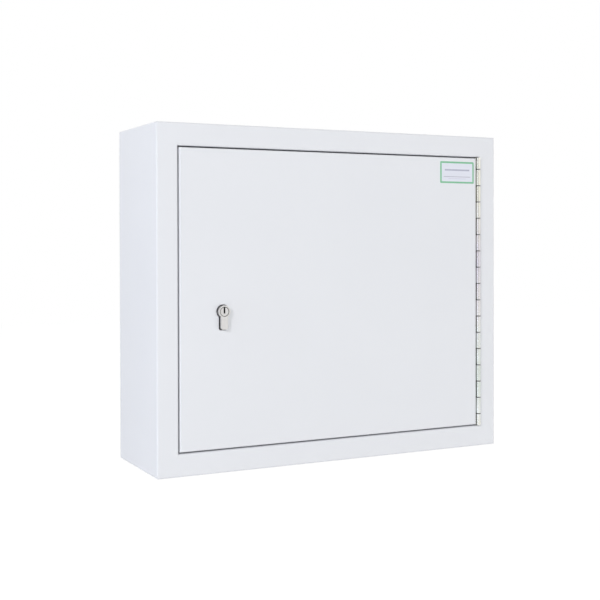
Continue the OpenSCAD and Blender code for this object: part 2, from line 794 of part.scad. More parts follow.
// Slotted channel for the shelf clips; side is -1 for the left wall, 1 for the right
module shelf_strips(side) {
    web_x = wall_x - strip_d;
    slots = [for (i = [0 : slot_count - 1]) slot_z(i)];
    color(white_paint)
    mirror([side < 0 ? 1 : 0, 0, 0])
    for (y = strip_y) difference() {
        along_z([-strip_l / 2, strip_l / 2]) mirror([1, -1, 0])
            round_front([y - strip_w / 2, y + strip_w / 2], [web_x, wall_x - fit], strip_t + 0.4);
        block([web_x + strip_t, wall_x + over], [y - strip_w / 2 + strip_t, y + strip_w / 2 - strip_t],
              [-strip_l / 2 - over, strip_l / 2 + over]);
        for (z = slots)
            block([web_x - over, web_x + strip_t + over], [y - slot_w / 2, y + slot_w / 2],
                  [z - slot_h / 2, z + slot_h / 2]);
    }
}

module shelf_strips_left() { shelf_strips(-1); }
module shelf_strips_right() { shelf_strips(1); }

// Shelf folded down on all four edges
module shelf(top) {
    t = shelf_t;
    color(white_paint)
    difference() {
        folded_tray([-shelf_half, shelf_half], shelf_y, [top - shelf_flange, top], shelf_bend_r);
        folded_tray([t - shelf_half, shelf_half - t], [shelf_y[0] + t, shelf_y[1] - t],
                    [top - shelf_flange - over, top - t], shelf_bend_r - t);
        for (s = [0, 1]) mirror([s, 0, 0])
            block([shelf_half - 2 * t, shelf_half + over], [shelf_y[0] + t, shelf_y[1] - t],
                  [top - shelf_flange - over, top - shelf_end_flange]);
    }
}

module shelf_lower() { shelf(shelf_top(lower_slot)); }
module shelf_upper() { shelf(shelf_top(upper_slot)); }

// Four clips that hook in the strips' slots and carry the shelf's ends on their ledges
module shelf_clips(i) {
    face_x = wall_x - strip_d - clip_t - fit;
    top = slot_z(i) + ledge_t;
    color(zinc)
    for (s = [0, 1]) mirror([s, 0, 0])
        for (y = strip_y) {
            along_x([face_x, face_x + clip_t])
                round_rect([y - clip_w / 2, y + clip_w / 2], [top - 20, top + 6], 2);
            along_z([top - ledge_t, top]) mirror([1, -1, 0])
                round_front([y - clip_w / 2, y + clip_w / 2], [face_x - ledge_l, face_x + clip_t], 3);
            block([face_x, face_x + clip_t + strip_t + 1.2], [y - slot_w / 2 + slip, y + slot_w / 2 - slip],
                  [slot_z(i) - slot_h / 2 + slip, slot_z(i) + slot_h / 2 - slip]);
        }
}

module shelf_clips_lower() { shelf_clips(lower_slot); }
module shelf_clips_upper() { shelf_clips(upper_slot); }

body_shell();
back_panel();
door_stops();
strike_plate();
strike_screws();
hinge_leaf_frame();
hinge_pin();
hinge_rivets_frame();
shelf_strips_left();
shelf_strips_right();
shelf_lower();
shelf_upper();
shelf_clips_lower();
shelf_clips_upper();
door_panel();
door_stiffener();
hinge_leaf_door();
hinge_rivets_door();
label();
lock_case();
lock_cover();
lock_forend();
forend_screws();
lock_pillars();
bolt_spring();
lock_studs();
lock_spacers();
lock_nuts();
cylinder_body();
cylinder_screw();
cylinder_plug();
cylinder_cam();
plug_circlip();
deadbolt();
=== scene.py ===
"""The looks of a lockable medicine cabinet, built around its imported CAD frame.

Lengths are in metres and every piece lies in the frame's own axes: X to the right, Z up,
the front facing -Y, with the origin on the plane of the back.
"""

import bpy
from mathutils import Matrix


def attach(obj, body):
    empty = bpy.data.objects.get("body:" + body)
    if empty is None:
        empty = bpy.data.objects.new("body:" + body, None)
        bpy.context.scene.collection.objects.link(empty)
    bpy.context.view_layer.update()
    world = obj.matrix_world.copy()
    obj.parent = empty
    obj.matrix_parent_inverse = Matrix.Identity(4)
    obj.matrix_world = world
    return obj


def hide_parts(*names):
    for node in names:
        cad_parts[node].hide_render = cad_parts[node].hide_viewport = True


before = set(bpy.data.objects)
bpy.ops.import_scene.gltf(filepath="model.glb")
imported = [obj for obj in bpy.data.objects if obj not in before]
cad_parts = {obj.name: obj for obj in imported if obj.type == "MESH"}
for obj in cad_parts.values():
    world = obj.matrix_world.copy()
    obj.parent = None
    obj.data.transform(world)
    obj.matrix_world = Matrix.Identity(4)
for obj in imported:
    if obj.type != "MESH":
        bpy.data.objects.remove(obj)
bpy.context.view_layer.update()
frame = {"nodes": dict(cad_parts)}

import logging
import math
from collections.abc import Callable
from dataclasses import dataclass, field
from enum import Enum

import bmesh
import bpy
import numpy as np
from mathutils import Matrix, Vector

log = logging.getLogger("cabinet")
Colour = tuple[float, float, float]
Point = tuple[float, float, float]
Socket = bpy.types.NodeSocket
Grid = np.ndarray
WELD = 1e-7
TURN = 2.0 * math.pi
WHITE: Colour = (1.0, 1.0, 1.0)
BEVEL_SAMPLES = 4


# ---- Node trees --------------------------------------------------------------------


class Wiring:
    """Adds nodes to one node tree and joins them up."""

    def __init__(self, tree: bpy.types.NodeTree) -> None:
        """Keeps the tree.

        Args:
            tree: the tree of a material, a world or a group.
        """
        self.tree = tree

    @classmethod
    def blank(cls, owner: bpy.types.Material | bpy.types.World) -> "Wiring":
        """Empties the node tree of a material or a world.

        Args:
            owner: what the tree belongs to.

        Returns:
            The tree's wiring.
        """
        owner.use_nodes = True
        owner.node_tree.nodes.clear()
        return cls(owner.node_tree)

    def feed(self, socket: Socket, value: object) -> None:
        """Joins a socket to another one, or writes a plain value into it.

        Args:
            socket: the input to fill.
            value: an output socket, a number, or a tuple of numbers.
        """
        if isinstance(value, bpy.types.NodeSocket):
            self.tree.links.new(value, socket)
        elif isinstance(value, tuple) and len(value) == 3 and socket.type == "RGBA":
            socket.default_value = (*value, 1.0)
        else:
            socket.default_value = value

    def node(
        self,
        kind: str,
        inputs: dict[str | int, object] | None = None,
        **settings: object,
    ) -> bpy.types.Node:
        """Adds a node.

        Args:
            kind: the node's type name.
            inputs: what goes into its inputs, by name or number.
            settings: its other properties.

        Returns:
            The new node.
        """
        made = self.tree.nodes.new(kind)
        for name, value in settings.items():
            setattr(made, name, value)
        for name, value in (inputs or {}).items():
            self.feed(made.inputs[name], value)
        return made

    def maths(self, operation: str, *values: object, clamp: bool = False) -> Socket:
        """Adds a Math node.

        Args:
            operation: the node's operation.
            values: its inputs in order.
            clamp: whether the result is held between 0 and 1.

        Returns:
            The result's socket.
        """
        made = self.node("ShaderNodeMath", operation=operation, use_clamp=clamp)
        for socket, value in zip(made.inputs, values):
            self.feed(socket, value)
        return made.outputs[0]

    def away(self, value: object, middle: object) -> Socket:
        """Returns how far a value lies from a middle, either way."""
        return self.maths("ABSOLUTE", self.maths("SUBTRACT", value, middle))

    def length(self, across: Socket, up: Socket) -> Socket:
        """Returns the square root of the sum of two squares."""
        squares = [self.maths("MULTIPLY", side, side) for side in (across, up)]
        return self.maths("SQRT", self.maths("ADD", *squares))

    def mix(self, factor: object, first: object, second: object) -> Socket:
        """Mixes two colours.

        Args:
            factor: 0 gives the first colour and 1 the second.
            first: a colour or a colour socket.
            second: a colour or a colour socket.

        Returns:
            The mixed colour's socket.
        """
        made = self.node("ShaderNodeMix", data_type="RGBA")
        self.feed(made.inputs[0], factor)
        self.feed(made.inputs[6], first)
        self.feed(made.inputs[7], second)
        return made.outputs[2]

    def veil(self, mask: Socket, amount: object, under: object, over: object) -> Socket:
        """Returns a colour with another laid over it, as much as the mask times the amount."""
        return self.mix(self.maths("MULTIPLY", mask, amount), under, over)

    def noise(self, place: Socket, scale: object, detail: float = 2.0) -> Socket:
        """Adds a noise between 0 and 1.

        Args:
            place: the coordinates that it reads.
            scale: lumps per metre.
            detail: how many finer layers it has.

        Returns:
            The noise's value socket.
        """
        made = self.node(
            "ShaderNodeTexNoise", {"Vector": place, "Scale": scale, "Detail": detail}
        )
        return made.outputs[0]

    def ramp(self, value: object, low: object, high: object) -> Socket:
        """Stretches a value so that low becomes 0 and high becomes 1, and clamps it.

        Args:
            value: the value to stretch.
            low: what becomes 0.
            high: what becomes 1.

        Returns:
            The stretched value's socket.
        """
        made = self.node("ShaderNodeMapRange", {0: value, 1: low, 2: high}, clamp=True)
        return made.outputs[0]


class SharedEffect:
    """A shader node group that reads a place and some numbers, and gives one number."""

    def __init__(
        self,
        name: str,
        output: str,
        fill: Callable[[Wiring, dict[str, Socket]], Socket],
        numbers: dict[str, float],
    ) -> None:
        """Builds the group.

        Args:
            name: the group's name.
            output: its output's name.
            fill: makes the nodes from the input sockets, and returns the output's source.
            numbers: the default of each input besides Place.
        """
        self.tree = bpy.data.node_groups.new(name, "ShaderNodeTree")
        face = self.tree.interface
        face.new_socket("Place", in_out="INPUT", socket_type="NodeSocketVector")
        for label, default in numbers.items():
            made = face.new_socket(label, in_out="INPUT", socket_type="NodeSocketFloat")
            made.default_value = default
        face.new_socket(output, in_out="OUTPUT", socket_type="NodeSocketFloat")
        w = Wiring(self.tree)
        entry = w.node("NodeGroupInput")
        source = fill(w, {label: entry.outputs[label] for label in ("Place", *numbers)})
        w.node("NodeGroupOutput", {output: source})

    def place(self, w: Wiring, **values: object) -> Socket:
        """Puts the group into a material.

        Args:
            w: the material's wiring.
            values: what goes into the group's inputs, by name.

        Returns:
            The group's output.
        """
        made = w.node("ShaderNodeGroup", node_tree=self.tree)
        for label, value in values.items():
            w.feed(made.inputs[label], value)
        return made.outputs[0]


class Effects:
    """The shared effects that the finishes are made with."""

    def __init__(self) -> None:
        """Builds every shared effect, with the defaults of its inputs."""
        self.orange_peel = SharedEffect("orange_peel", "Height", self._orange_peel, {"Lumps": 420.0})
        self.edge_wear = SharedEffect(
            "edge_wear", "Mask", self._edge_wear, {"Reach": 0.0006, "Break": 260.0})
        self.mottle = SharedEffect("mottle", "Value", self._mottle, {"Size": 12.0})
        self.dust = SharedEffect("settled_dust", "Mask", self._dust, {"Amount": 0.2})
        self.drawn_grain = SharedEffect("drawn_grain", "Value", self._drawn_grain, {"Lines": 900.0})
        self.scratches = SharedEffect("fine_scratches", "Mask", self._scratches, {"Size": 60.0})

    @staticmethod
    def _orange_peel(w: Wiring, at: dict[str, Socket]) -> Socket:
        """Adds up the peel of cured powder.

        Args:
            w: the group's wiring.
            at: the group's inputs.

        Returns:
            A lumpy noise plus a third of one three times finer.
        """
        coarse = w.noise(at["Place"], at["Lumps"], 1.0)
        fine = w.noise(at["Place"], w.maths("MULTIPLY", at["Lumps"], 3.1), 1.0)
        return w.maths("MULTIPLY_ADD", fine, 0.33, coarse)

    @staticmethod
    def _edge_wear(w: Wiring, at: dict[str, Socket]) -> Socket:
        """Finds the edges.

        Args:
            w: the group's wiring.
            at: the group's inputs.

        Returns:
            How far the rounded normal leans from the true one, broken by noise.
        """
        soft = w.node("ShaderNodeBevel", {"Radius": at["Reach"]}, samples=BEVEL_SAMPLES)
        true = w.node("ShaderNodeNewGeometry").outputs["Normal"]
        lean = w.node("ShaderNodeVectorMath", {0: soft.outputs[0], 1: true},
                      operation="DOT_PRODUCT").outputs["Value"]
        edge = w.ramp(lean, 0.995, 0.86)
        broken = w.ramp(w.noise(at["Place"], at["Break"], 3.0), 0.32, 0.62)
        return w.maths("MULTIPLY", edge, broken)

    @staticmethod
    def _mottle(w: Wiring, at: dict[str, Socket]) -> Socket:
        """Returns a wide noise, stretched about its middle."""
        return w.ramp(w.noise(at["Place"], at["Size"], 3.0), 0.3, 0.7)

    @staticmethod
    def _dust(w: Wiring, at: dict[str, Socket]) -> Socket:
        """Finds where dust settles.

        Args:
            w: the group's wiring.
            at: the group's inputs.

        Returns:
            The upward part of the normal times two noises and the amount.
        """
        normal = w.node("ShaderNodeNewGeometry").outputs["Normal"]
        up = w.node("ShaderNodeSeparateXYZ", {0: normal}).outputs[2]
        lie = w.ramp(up, 0.75, 1.0)
        cloud = w.ramp(w.noise(at["Place"], 9.0, 4.0), 0.35, 0.75)
        speck = w.ramp(w.noise(at["Place"], 900.0, 2.0), 0.45, 0.7)
        both = w.maths("MULTIPLY_ADD", speck, 0.5, cloud)
        return w.maths("MULTIPLY", w.maths("MULTIPLY", lie, both), at["Amount"], clamp=True)

    @staticmethod
    def _drawn_grain(w: Wiring, at: dict[str, Socket]) -> Socket:
        """Draws grain; the material stretches the coordinates along it.

        Args:
            w: the group's wiring.
            at: the group's inputs.

        Returns:
            Two noises added.
        """
        wide = w.noise(at["Place"], w.maths("MULTIPLY", at["Lines"], 0.23), 2.0)
        fine = w.noise(at["Place"], at["Lines"], 2.0)
        return w.ramp(w.maths("MULTIPLY_ADD", wide, 0.6, fine), 0.5, 1.1)

    @staticmethod
    def _scratches(w: Wiring, at: dict[str, Socket]) -> Socket:
        """Draws scratches.

        Args:
            w: the group's wiring.
            at: the group's inputs.

        Returns:
            The thin lines between the cells of a warped cell pattern.
        """
        bent = w.node("ShaderNodeTexNoise", {"Vector": at["Place"], "Scale": 14.0})
        moved = w.node("ShaderNodeVectorMath", {0: at["Place"], 1: bent.outputs["Color"]},
                       operation="ADD").outputs[0]
        cells = w.node("ShaderNodeTexVoronoi", {"Vector": moved, "Scale": at["Size"]},
                       feature="DISTANCE_TO_EDGE")
        line = w.ramp(cells.outputs["Distance"], 0.02, 0.0)
        few = w.ramp(w.noise(at["Place"], 35.0, 1.0), 0.52, 0.66)
        return w.maths("MULTIPLY", line, few)


# ---- Finishes ----------------------------------------------------------------------


class Grain(Enum):
    """Which way a metal's grain runs, as the stretch of the coordinates along each axis."""

    NONE = (1.0, 1.0, 1.0)
    ACROSS = (0.03, 1.0, 1.0)
    DEEP = (1.0, 0.03, 1.0)
    UPRIGHT = (1.0, 1.0, 0.03)


@dataclass(frozen=True)
class Layer:
    """One pattern of a finish: how fine it is, and how far it moves colour and roughness."""

    scale: float
    tone: float
    rough: float = 0.0


@dataclass(frozen=True)
class Relief:
    """A finish's fine shape: the radius of its soft edges, and its bump's share and depth."""

    reach: float
    strength: float
    depth: float


class Finish:
    """What every finish shares: a material with one Principled surface."""

    name: str
    relief: Relief

    def start(self) -> tuple[bpy.types.Material, Wiring, bpy.types.Node, Socket]:
        """Makes an empty material.

        Returns:
            The material, its wiring, its Principled node and the object's coordinates.
        """
        material = bpy.data.materials.new(self.name)
        w = Wiring.blank(material)
        surface = w.node("ShaderNodeBsdfPrincipled")
        w.node("ShaderNodeOutputMaterial", {"Surface": surface.outputs[0]})
        place = w.node("ShaderNodeTexCoord").outputs["Object"]
        return material, w, surface, place

    def soften(self, w: Wiring, surface: bpy.types.Node, height: Socket) -> None:
        """Rounds the edges' normals and adds a bump to them.

        Args:
            w: the material's wiring.
            surface: its Principled node.
            height: the bump's height.
        """
        soft = w.node("ShaderNodeBevel", {"Radius": self.relief.reach}, samples=BEVEL_SAMPLES)
        bump = w.node("ShaderNodeBump", {
            "Strength": self.relief.strength, "Distance": self.relief.depth,
            "Height": height, "Normal": soft.outputs[0]})
        w.feed(surface.inputs["Normal"], bump.outputs[0])


@dataclass(frozen=True)
class PowderCoat(Finish):
    """Satin powder coat, with the peel of cured powder and thin edges."""

    name: str = "white_powder_coat"
    colour: Colour = (0.800, 0.815, 0.850)
    shade: Colour = (0.770, 0.785, 0.822)
    roughness: float = 0.36
    drift: Layer = Layer(7.0, 0.35, 0.05)
    wear: Layer = Layer(180.0, 0.22)
    wear_reach: float = 0.0005
    thin: Colour = (0.62, 0.63, 0.65)
    dust_amount: float = 0.10
    dust_rough: float = 0.4
    dust: Colour = (0.60, 0.58, 0.55)
    lumps: float = 520.0
    relief: Relief = Relief(0.0005, 0.35, 0.00006)

    def build(self, fx: Effects) -> bpy.types.Material:
        """Makes the material.

        Args:
            fx: the shared effects.

        Returns:
            The material.
        """
        material, w, surface, place = self.start()
        drift = fx.mottle.place(w, Place=place, Size=self.drift.scale)
        colour = w.veil(drift, self.drift.tone, self.colour, self.shade)
        worn = fx.edge_wear.place(w, Place=place, Reach=self.wear_reach, Break=self.wear.scale)
        colour = w.veil(worn, self.wear.tone, colour, self.thin)
        dust = fx.dust.place(w, Place=place, Amount=self.dust_amount)
        w.feed(surface.inputs["Base Color"], w.mix(dust, colour, self.dust))
        rough = w.maths("MULTIPLY_ADD", drift, self.drift.rough, self.roughness)
        rough = w.maths("MULTIPLY_ADD", dust, self.dust_rough, rough, clamp=True)
        w.feed(surface.inputs["Roughness"], rough)
        self.soften(w, surface, fx.orange_peel.place(w, Place=place, Lumps=self.lumps))
        return material


@dataclass(frozen=True)
class Knuckles:
    """Bands of tint along a rolled hinge, and painted shade at the joints of its knuckles."""

    pitch: float = 0.025
    joint: tuple[float, float] = (0.0011, 0.0004)
    pivot: tuple[float, float] = (0.24415, -0.1615)
    barrel: tuple[float, float] = (4.2e-3, 3.6e-3)
    # painted shade: dark colour laid on the barrel at the joints between knuckles
    joint_shade: Colour = (0.10, 0.10, 0.10)
    leaf_tint: float = 0.25
    barrel_tint: float = 0.30
    sway: Layer = Layer(21.0, 0.06)
    band_half: float = 0.10
    bands: tuple[tuple[float, Colour], ...] = (
        (0.19, (0.70, 0.68, 0.52)), (0.07, (0.62, 0.56, 0.64)), (-0.10, (0.54, 0.64, 0.56)),
    )

    def tint(self, w: Wiring, place: Socket, colour: Socket) -> Socket:
        """Tints the plate along its length and darkens it at the joints with painted shade.

        Args:
            w: the material's wiring.
            place: the object's coordinates.
            colour: the plate's colour.

        Returns:
            The colour, mixed with straw towards the top, violet about the middle and green
            below it, less so on the flat leaf; and with painted shade on the barrel where
            |frac(z / pitch) - 1/2| is nearly 0, at the joints between knuckles.
        """
        x, y, z = w.node("ShaderNodeSeparateXYZ", {0: place}).outputs
        r = w.length(w.maths("SUBTRACT", x, self.pivot[0]), w.maths("SUBTRACT", y, self.pivot[1]))
        barrel = w.ramp(r, *self.barrel)
        strength = w.maths("MULTIPLY_ADD", barrel, self.barrel_tint, self.leaf_tint)
        sway = w.maths("MULTIPLY_ADD", w.noise(place, self.sway.scale), self.sway.tone, z)
        for middle, shade in self.bands:
            near = w.ramp(w.away(sway, middle), self.band_half, 0.0)
            colour = w.veil(near, strength, colour, shade)
        # painted shade at the joints between knuckles
        turn = w.maths("FRACT", w.maths("DIVIDE", z, self.pitch))
        off = w.maths("MULTIPLY", w.away(turn, 0.5), self.pitch)
        return w.veil(w.ramp(off, *self.joint), barrel, colour, self.joint_shade)


@dataclass(frozen=True)
class KeyholeShade:
    """Painted shade in a cylinder's key slot and in the ring about its plug, standing in for the shadow
    deep in the slot and in the gap about the plug.
    """

    axis_x: float = -0.180
    axis_z: float = -0.0172
    plug_r: float = 6.3e-3
    face_y: float = -0.1657
    back_y: float = -0.1400
    # painted shade: near-black colour laid where the slot and the gap about the plug lie in shadow
    colour: Colour = (0.035, 0.032, 0.030)
    tone: float = 0.96
    rough: float = 0.5

    def mask(self, w: Wiring, place: Socket) -> Socket:
        """Finds where the painted shade lies.

        Args:
            w: the material's wiring.
            place: the object's coordinates.

        Returns:
            1 in a thin ring at the plug's radius and anywhere inside it that lies behind
            the plug's face, and 0 elsewhere and at the cylinder's back.
        """
        x, y, z = w.node("ShaderNodeSeparateXYZ", {0: place}).outputs
        r = w.length(w.maths("SUBTRACT", x, self.axis_x), w.maths("SUBTRACT", z, self.axis_z))
        inside = w.ramp(r, self.plug_r + 0.55e-3, self.plug_r + 0.25e-3)
        ring = w.ramp(r, self.plug_r - 0.55e-3, self.plug_r - 0.15e-3)
        deep = w.ramp(y, self.face_y + 0.15e-3, self.face_y + 0.7e-3)
        front = w.maths("MULTIPLY", inside, w.ramp(y, self.back_y, self.back_y - 1e-3))
        return w.maths("MULTIPLY", front, w.maths("MAXIMUM", ring, deep))


@dataclass(frozen=True)
class Metal(Finish):
    """Nickel, brass or bare steel, ground to a satin face."""

    name: str
    colour: Colour
    dull: Colour
    bright: Colour
    bloom: Colour | None = None
    roughness: float = 0.26
    grain: Grain = Grain.UPRIGHT
    lines: Layer = Layer(1800.0, 0.5, 0.12)
    patch: Layer = Layer(160.0, 0.25, 0.06)
    wear: Layer = Layer(900.0, 0.8)
    wear_reach: float = 0.0004
    scratch: Layer | None = None
    knuckles: Knuckles | None = None
    # painted shade in the key slot and the ring about the plug, when given
    keyway_shade: KeyholeShade | None = None
    relief: Relief = Relief(0.0003, 0.22, 0.00003)

    def build(self, fx: Effects) -> bpy.types.Material:
        """Makes the material.

        Args:
            fx: the shared effects.

        Returns:
            The material.
        """
        material, w, surface, place = self.start()
        surface.inputs["Metallic"].default_value = 1.0
        along = w.node("ShaderNodeMapping", {"Vector": place, "Scale": self.grain.value})
        lines = fx.drawn_grain.place(w, Place=along.outputs[0], Lines=self.lines.scale)
        patch = fx.mottle.place(w, Place=place, Size=self.patch.scale)
        colour = w.veil(lines, self.lines.tone, self.colour, self.dull)
        colour = w.veil(patch, self.patch.tone, colour, self.bloom or self.dull)
        if self.knuckles:
            colour = self.knuckles.tint(w, place, colour)
        worn = fx.edge_wear.place(w, Place=place, Reach=self.wear_reach, Break=self.wear.scale)
        colour = w.veil(worn, self.wear.tone, colour, self.bright)
        rough = w.maths("MULTIPLY_ADD", patch, self.patch.rough, self.roughness)
        if self.scratch:
            scratch = fx.scratches.place(w, Place=place, Size=self.scratch.scale)
            colour = w.veil(scratch, self.scratch.tone, colour, self.dull)
        # painted shade: darkens the key slot and the ring about the plug
        if self.keyway_shade:
            shade_mask = self.keyway_shade.mask(w, place)
            colour = w.veil(shade_mask, self.keyway_shade.tone, colour, self.keyway_shade.colour)
            rough = w.maths("MULTIPLY_ADD", shade_mask, self.keyway_shade.rough, rough)
        w.feed(surface.inputs["Base Color"], colour)
        rough = w.maths("MULTIPLY_ADD", lines, self.lines.rough, rough, clamp=True)
        w.feed(surface.inputs["Roughness"], rough)
        self.soften(w, surface, lines)
        return material


@dataclass(frozen=True)
class PlatedSteel(Metal):
    """Bright zinc plate on rolled steel, with a faint bloom of colour and fine scratches."""

    name: str = "bright_zinc"
    colour: Colour = (0.66, 0.67, 0.68)
    dull: Colour = (0.52, 0.53, 0.54)
    bright: Colour = (0.80, 0.80, 0.79)
    bloom: Colour | None = (0.70, 0.66, 0.56)
    roughness: float = 0.27
    lines: Layer = Layer(1100.0, 0.45, 0.08)
    patch: Layer = Layer(38.0, 0.35, 0.10)
    wear: Layer = Layer(420.0, 0.5)
    wear_reach: float = 0.0005
    scratch: Layer | None = Layer(90.0, 0.3)
    relief: Relief = Relief(0.0004, 0.18, 0.00004)


@dataclass(frozen=True)
class PrintedLabel(Finish):
    """Glossy film printed with a coloured border and a few ruled lines, and no words."""

    name: str = "printed_label_film"
    middle: tuple[float, float] = (0.2055, 0.1819)
    half: tuple[float, float] = (0.0307, 0.0164)
    border: float = 2.6e-3
    film: Colour = (0.76, 0.78, 0.87)
    film_dim: Colour = (0.70, 0.72, 0.80)
    ink: Colour = (0.200, 0.515, 0.305)
    ink_pale: Colour = (0.30, 0.60, 0.40)
    roughness: float = 0.30
    fibre: Layer = Layer(900.0, 0.12)
    ink_fibre: float = 0.2
    ink_fade: Layer = Layer(700.0, 0.5)
    ink_least: float = 0.6
    scratch: Layer = Layer(300.0, 0.0, 0.2)
    edge: float = 0.15e-3
    relief: Relief = Relief(0.00008, 0.2, 0.00001)
    rules: tuple[tuple[float, float, float, Colour], ...] = (
        (0.0036, 0.0225, 1.15e-3, (0.38, 0.39, 0.50)),
        (-0.0066, 0.0245, 0.55e-3, (0.42, 0.42, 0.50)),
        (-0.0094, 0.0160, 0.35e-3, (0.55, 0.55, 0.66)),
    )

    def build(self, fx: Effects) -> bpy.types.Material:
        """Makes the material.

        Args:
            fx: the shared effects.

        Returns:
            The material.
        """
        material, w, surface, place = self.start()
        x, _, z = w.node("ShaderNodeSeparateXYZ", {0: place}).outputs
        up = w.maths("SUBTRACT", z, self.middle[1])
        side, top = w.away(x, self.middle[0]), w.maths("ABSOLUTE", up)
        edge = self.edge
        inner = [h - self.border for h in self.half]
        rim = w.maths("MAXIMUM", w.ramp(side, inner[0] - edge, inner[0] + edge),
                      w.ramp(top, inner[1] - edge, inner[1] + edge))
        fibre = fx.mottle.place(w, Place=place, Size=self.fibre.scale)
        colour = w.veil(fibre, self.fibre.tone, self.film, self.film_dim)
        fade = w.noise(place, self.ink_fade.scale)
        fade = w.maths("MULTIPLY_ADD", fade, self.ink_fade.tone, self.ink_least)
        for height, reach, thick, tone in self.rules:
            off = w.away(up, height)
            line = w.maths("MULTIPLY", w.ramp(off, thick + edge, thick - edge),
                           w.ramp(side, reach + edge, reach - edge))
            colour = w.mix(w.maths("MULTIPLY", line, fade, clamp=True), colour, tone)
        ink = w.veil(fibre, self.ink_fibre, self.ink, self.ink_pale)
        w.feed(surface.inputs["Base Color"], w.mix(rim, colour, ink))
        scratch = fx.scratches.place(w, Place=place, Size=self.scratch.scale)
        rough = w.maths("MULTIPLY_ADD", scratch, self.scratch.rough, self.roughness)
        w.feed(surface.inputs["Roughness"], rough)
        self.soften(w, surface, fibre)
        return material


# ---- Studio ------------------------------------------------------------------------


@dataclass(frozen=True)
class SoftBox:
    """A large soft lamp."""

    name: str
    place: Point
    aim: Point
    size: tuple[float, float]
    power: float
    mirrored: bool = True
    tint: Colour = WHITE

    def build(self) -> None:
        """Makes the lamp and turns it to its aim."""
        light = bpy.data.lights.new(self.name, "AREA")
        light.shape, light.energy = "RECTANGLE", self.power
        light.size, light.size_y = self.size
        light.color = self.tint
        lamp = bpy.data.objects.new(self.name, light)
        lamp.location = self.place
        way = Vector(self.aim) - Vector(self.place)
        lamp.rotation_euler = way.to_track_quat("-Z", "Y").to_euler()
        lamp.visible_camera, lamp.visible_glossy = False, self.mirrored
        bpy.context.scene.collection.objects.link(lamp)


